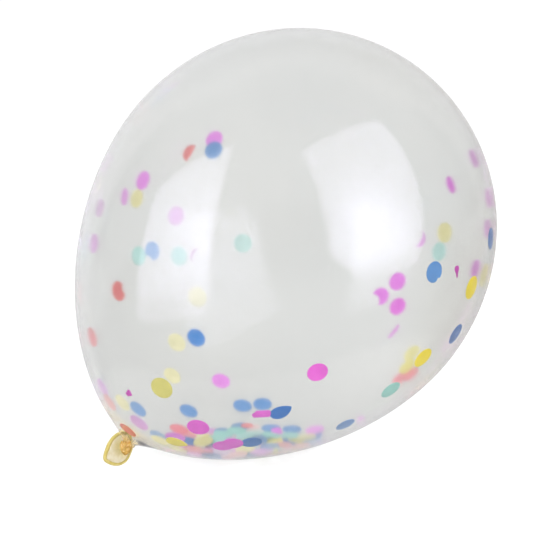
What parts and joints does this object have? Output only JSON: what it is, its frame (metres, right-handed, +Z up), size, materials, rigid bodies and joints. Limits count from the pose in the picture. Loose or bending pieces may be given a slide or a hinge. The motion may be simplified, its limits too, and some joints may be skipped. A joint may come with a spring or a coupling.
{
  "type": "confetti balloon",
  "caption": "Clear teardrop party balloon with a knotted neck and rolled lip, lying on its side, with loose round paper confetti sealed inside.",
  "frame": {"origin": "centre of the small flat spot that the balloon rests on", "axes": "+Z up; the long axis lies in the XZ plane, 38 degrees above the ground, with the crown up at +X and the knotted neck down at -X"},
  "size_m": [0.3242, 0.2996, 0.3067],
  "materials": {
    "latex": "clear blown-up latex, glossy, with a faint milky grey haze",
    "latex_thick": "unstretched latex of the knot and rolled lip, amber to straw yellow, glossy, half clear",
    "paper_pink": "matt tissue paper",
    "paper_blue": "matt tissue paper",
    "paper_mint": "matt tissue paper",
    "paper_yellow": "matt tissue paper",
    "paper_coral": "matt tissue paper"
  },
  "bodies": {
    "root": {"balloon": "latex"}
  },
  "joints": []
}
